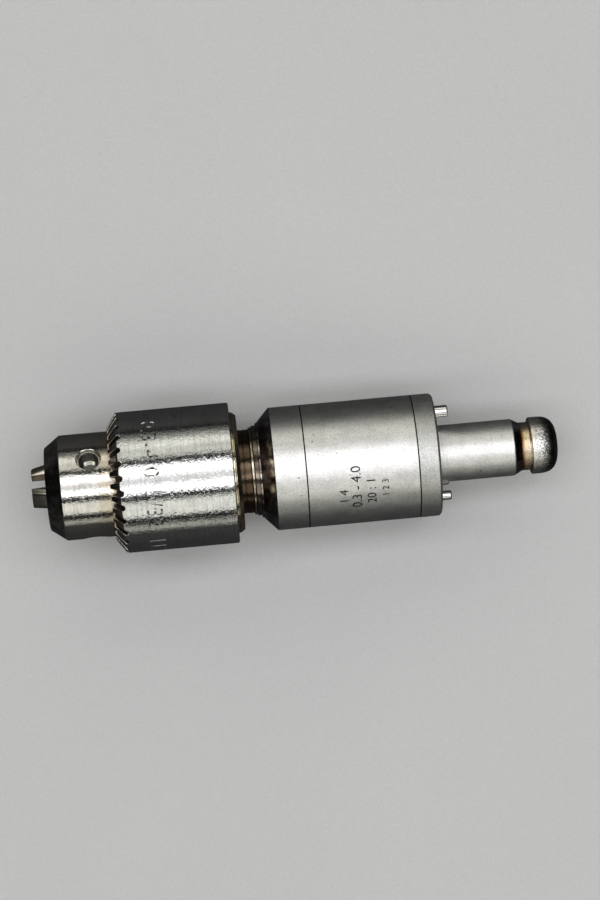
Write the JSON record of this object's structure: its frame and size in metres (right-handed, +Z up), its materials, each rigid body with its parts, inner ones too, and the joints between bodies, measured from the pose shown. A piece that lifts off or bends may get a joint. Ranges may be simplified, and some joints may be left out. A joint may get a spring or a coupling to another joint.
{
  "type": "keyed drill chuck attachment",
  "caption": "Keyed three-jaw drill chuck on a round reduction attachment with a seat face, locating pins, plain coupling shank, latch groove and domed head.",
  "frame": {"origin": "centre of the rear seat face, on the spindle axis, where the coupling shank leaves the housing", "axes": "+X along the spindle axis towards the coupling head, so the jaws point to -X; +Z is up as the object lies in the picture"},
  "size_m": [0.083, 0.0222, 0.0222],
  "materials": {
    "housing_steel": "matte",
    "shank_steel": "satin",
    "head_steel": "polished",
    "chuck_steel": "polished",
    "sleeve_steel": "fine ground",
    "jaw_steel": "ground",
    "dark_steel": "oiled",
    "neck_steel": "polished",
    "pin_steel": "polished",
    "inner_steel": "ground",
    "cage_bronze": "satin",
    "seal_rubber": "matte"
  },
  "bodies": {
    "housing": {"housing_shell": "housing_steel", "front_ring": "housing_steel", "rear_ring": "housing_steel", "seal_cap": "neck_steel", "shaft_seal": "seal_rubber", "front_joint_seal": "seal_rubber", "rear_joint_seal": "seal_rubber", "front_bearing_outer_race": "inner_steel", "bearing_spacer_outer": "inner_steel", "second_bearing_outer_race": "inner_steel", "bearing_clamp_ring": "inner_steel", "ring_gear": "inner_steel", "input_bearing_outer_race": "inner_steel", "tail_bearing_outer_race": "inner_steel", "locating_pin_large": "pin_steel", "locating_pins_small": "pin_steel", "coupling_shank": "shank_steel", "coupling_head": "head_steel"},
    "output": {"spindle": "inner_steel", "chuck_body": "chuck_steel", "neck_collar": "neck_steel", "output_planet_pins": "inner_steel", "output_pin_plate": "cage_bronze", "front_bearing_inner_race": "inner_steel", "bearing_spacer_inner": "inner_steel", "second_bearing_inner_race": "inner_steel"},
    "sleeve": {"geared_sleeve": "sleeve_steel", "nut_half_a": "dark_steel", "nut_half_b": "dark_steel"},
    "jaw_body_1": {"jaw_1": "jaw_steel"},
    "jaw_body_2": {"jaw_2": "jaw_steel"},
    "jaw_body_3": {"jaw_3": "jaw_steel"},
    "output_gear_1": {"output_planet_1": "inner_steel"},
    "output_gear_2": {"output_planet_2": "inner_steel"},
    "output_gear_3": {"output_planet_3": "inner_steel"},
    "first_stage": {"first_carrier": "inner_steel", "first_planet_pins": "inner_steel", "first_pin_plate": "cage_bronze"},
    "first_gear_1": {"first_planet_1": "inner_steel"},
    "first_gear_2": {"first_planet_2": "inner_steel"},
    "first_gear_3": {"first_planet_3": "inner_steel"},
    "input": {"input_shaft": "inner_steel", "input_bearing_inner_race": "inner_steel", "tail_bearing_inner_race": "inner_steel"},
    "front_ball_set": {"front_bearing_balls": "inner_steel", "front_bearing_cage": "cage_bronze"},
    "second_ball_set": {"second_bearing_balls": "inner_steel", "second_bearing_cage": "cage_bronze"},
    "input_ball_set": {"input_bearing_balls": "inner_steel"},
    "tail_ball_set": {"tail_bearing_balls": "inner_steel"}
  },
  "joints": [
    {"name": "spindle_spin", "type": "hinge", "parent": "housing", "child": "output", "pos_m": [0, 0, 0], "axis": [1, 0, 0], "continuous": true},
    {"name": "sleeve_turn", "type": "hinge", "parent": "output", "child": "sleeve", "pos_m": [0, 0, 0], "axis": [1, 0, 0], "range_deg": [-612.3, 1547.8]},
    {"name": "jaw_1_slide", "type": "slide", "parent": "output", "child": "jaw_body_1", "axis": [-0.9703, -0.2419, 0.0025], "range_m": [-0.00219, 0.00554]},
    {"name": "jaw_2_slide", "type": "slide", "parent": "output", "child": "jaw_body_2", "axis": [-0.9703, 0.1188, -0.2108], "range_m": [-0.00219, 0.00554]},
    {"name": "jaw_3_slide", "type": "slide", "parent": "output", "child": "jaw_body_3", "axis": [-0.9703, 0.1231, 0.2082], "range_m": [-0.00219, 0.00554]},
    {"name": "output_gear_1_spin", "type": "hinge", "parent": "output", "child": "output_gear_1", "pos_m": [0, 0, -0.00445], "axis": [1, 0, 0], "continuous": true},
    {"name": "output_gear_2_spin", "type": "hinge", "parent": "output", "child": "output_gear_2", "pos_m": [0, 0.00386, 0.00223], "axis": [1, 0, 0], "continuous": true},
    {"name": "output_gear_3_spin", "type": "hinge", "parent": "output", "child": "output_gear_3", "pos_m": [0, -0.00386, 0.00223], "axis": [1, 0, 0], "continuous": true},
    {"name": "first_gear_1_spin", "type": "hinge", "parent": "first_stage", "child": "first_gear_1", "pos_m": [0, 0, -0.00445], "axis": [1, 0, 0], "continuous": true},
    {"name": "first_gear_2_spin", "type": "hinge", "parent": "first_stage", "child": "first_gear_2", "pos_m": [0, 0.00386, 0.00223], "axis": [1, 0, 0], "continuous": true},
    {"name": "first_gear_3_spin", "type": "hinge", "parent": "first_stage", "child": "first_gear_3", "pos_m": [0, -0.00386, 0.00223], "axis": [1, 0, 0], "continuous": true},
    {"name": "first_stage_spin", "type": "hinge", "parent": "housing", "child": "first_stage", "pos_m": [0, 0, 0], "axis": [1, 0, 0], "continuous": true},
    {"name": "input_spin", "type": "hinge", "parent": "housing", "child": "input", "pos_m": [0, 0, 0], "axis": [1, 0, 0], "continuous": true},
    {"name": "front_ball_set_spin", "type": "hinge", "parent": "housing", "child": "front_ball_set", "pos_m": [0, 0, 0], "axis": [1, 0, 0], "continuous": true},
    {"name": "second_ball_set_spin", "type": "hinge", "parent": "housing", "child": "second_ball_set", "pos_m": [0, 0, 0], "axis": [1, 0, 0], "continuous": true},
    {"name": "input_ball_set_spin", "type": "hinge", "parent": "housing", "child": "input_ball_set", "pos_m": [0, 0, 0], "axis": [1, 0, 0], "continuous": true},
    {"name": "tail_ball_set_spin", "type": "hinge", "parent": "housing", "child": "tail_ball_set", "pos_m": [0, 0, 0], "axis": [1, 0, 0], "continuous": true}
  ],
  "couplings": [
    {"joint": "jaw_1_slide", "follows": "sleeve_turn", "m_per_rad": 0.00020503},
    {"joint": "jaw_2_slide", "follows": "sleeve_turn", "m_per_rad": 0.00020503},
    {"joint": "jaw_3_slide", "follows": "sleeve_turn", "m_per_rad": 0.00020503},
    {"joint": "output_gear_1_spin", "follows": "spindle_spin", "ratio": -2.8},
    {"joint": "output_gear_2_spin", "follows": "spindle_spin", "ratio": -2.8},
    {"joint": "output_gear_3_spin", "follows": "spindle_spin", "ratio": -2.8},
    {"joint": "first_gear_1_spin", "follows": "spindle_spin", "ratio": -12.6},
    {"joint": "first_gear_2_spin", "follows": "spindle_spin", "ratio": -12.6},
    {"joint": "first_gear_3_spin", "follows": "spindle_spin", "ratio": -12.6},
    {"joint": "first_stage_spin", "follows": "spindle_spin", "ratio": 4.5},
    {"joint": "input_spin", "follows": "spindle_spin", "ratio": 20.25},
    {"joint": "front_ball_set_spin", "follows": "spindle_spin", "ratio": 0.4},
    {"joint": "second_ball_set_spin", "follows": "spindle_spin", "ratio": 0.4},
    {"joint": "input_ball_set_spin", "follows": "spindle_spin", "ratio": 8.325},
    {"joint": "tail_ball_set_spin", "follows": "spindle_spin", "ratio": 8.325}
  ]
}
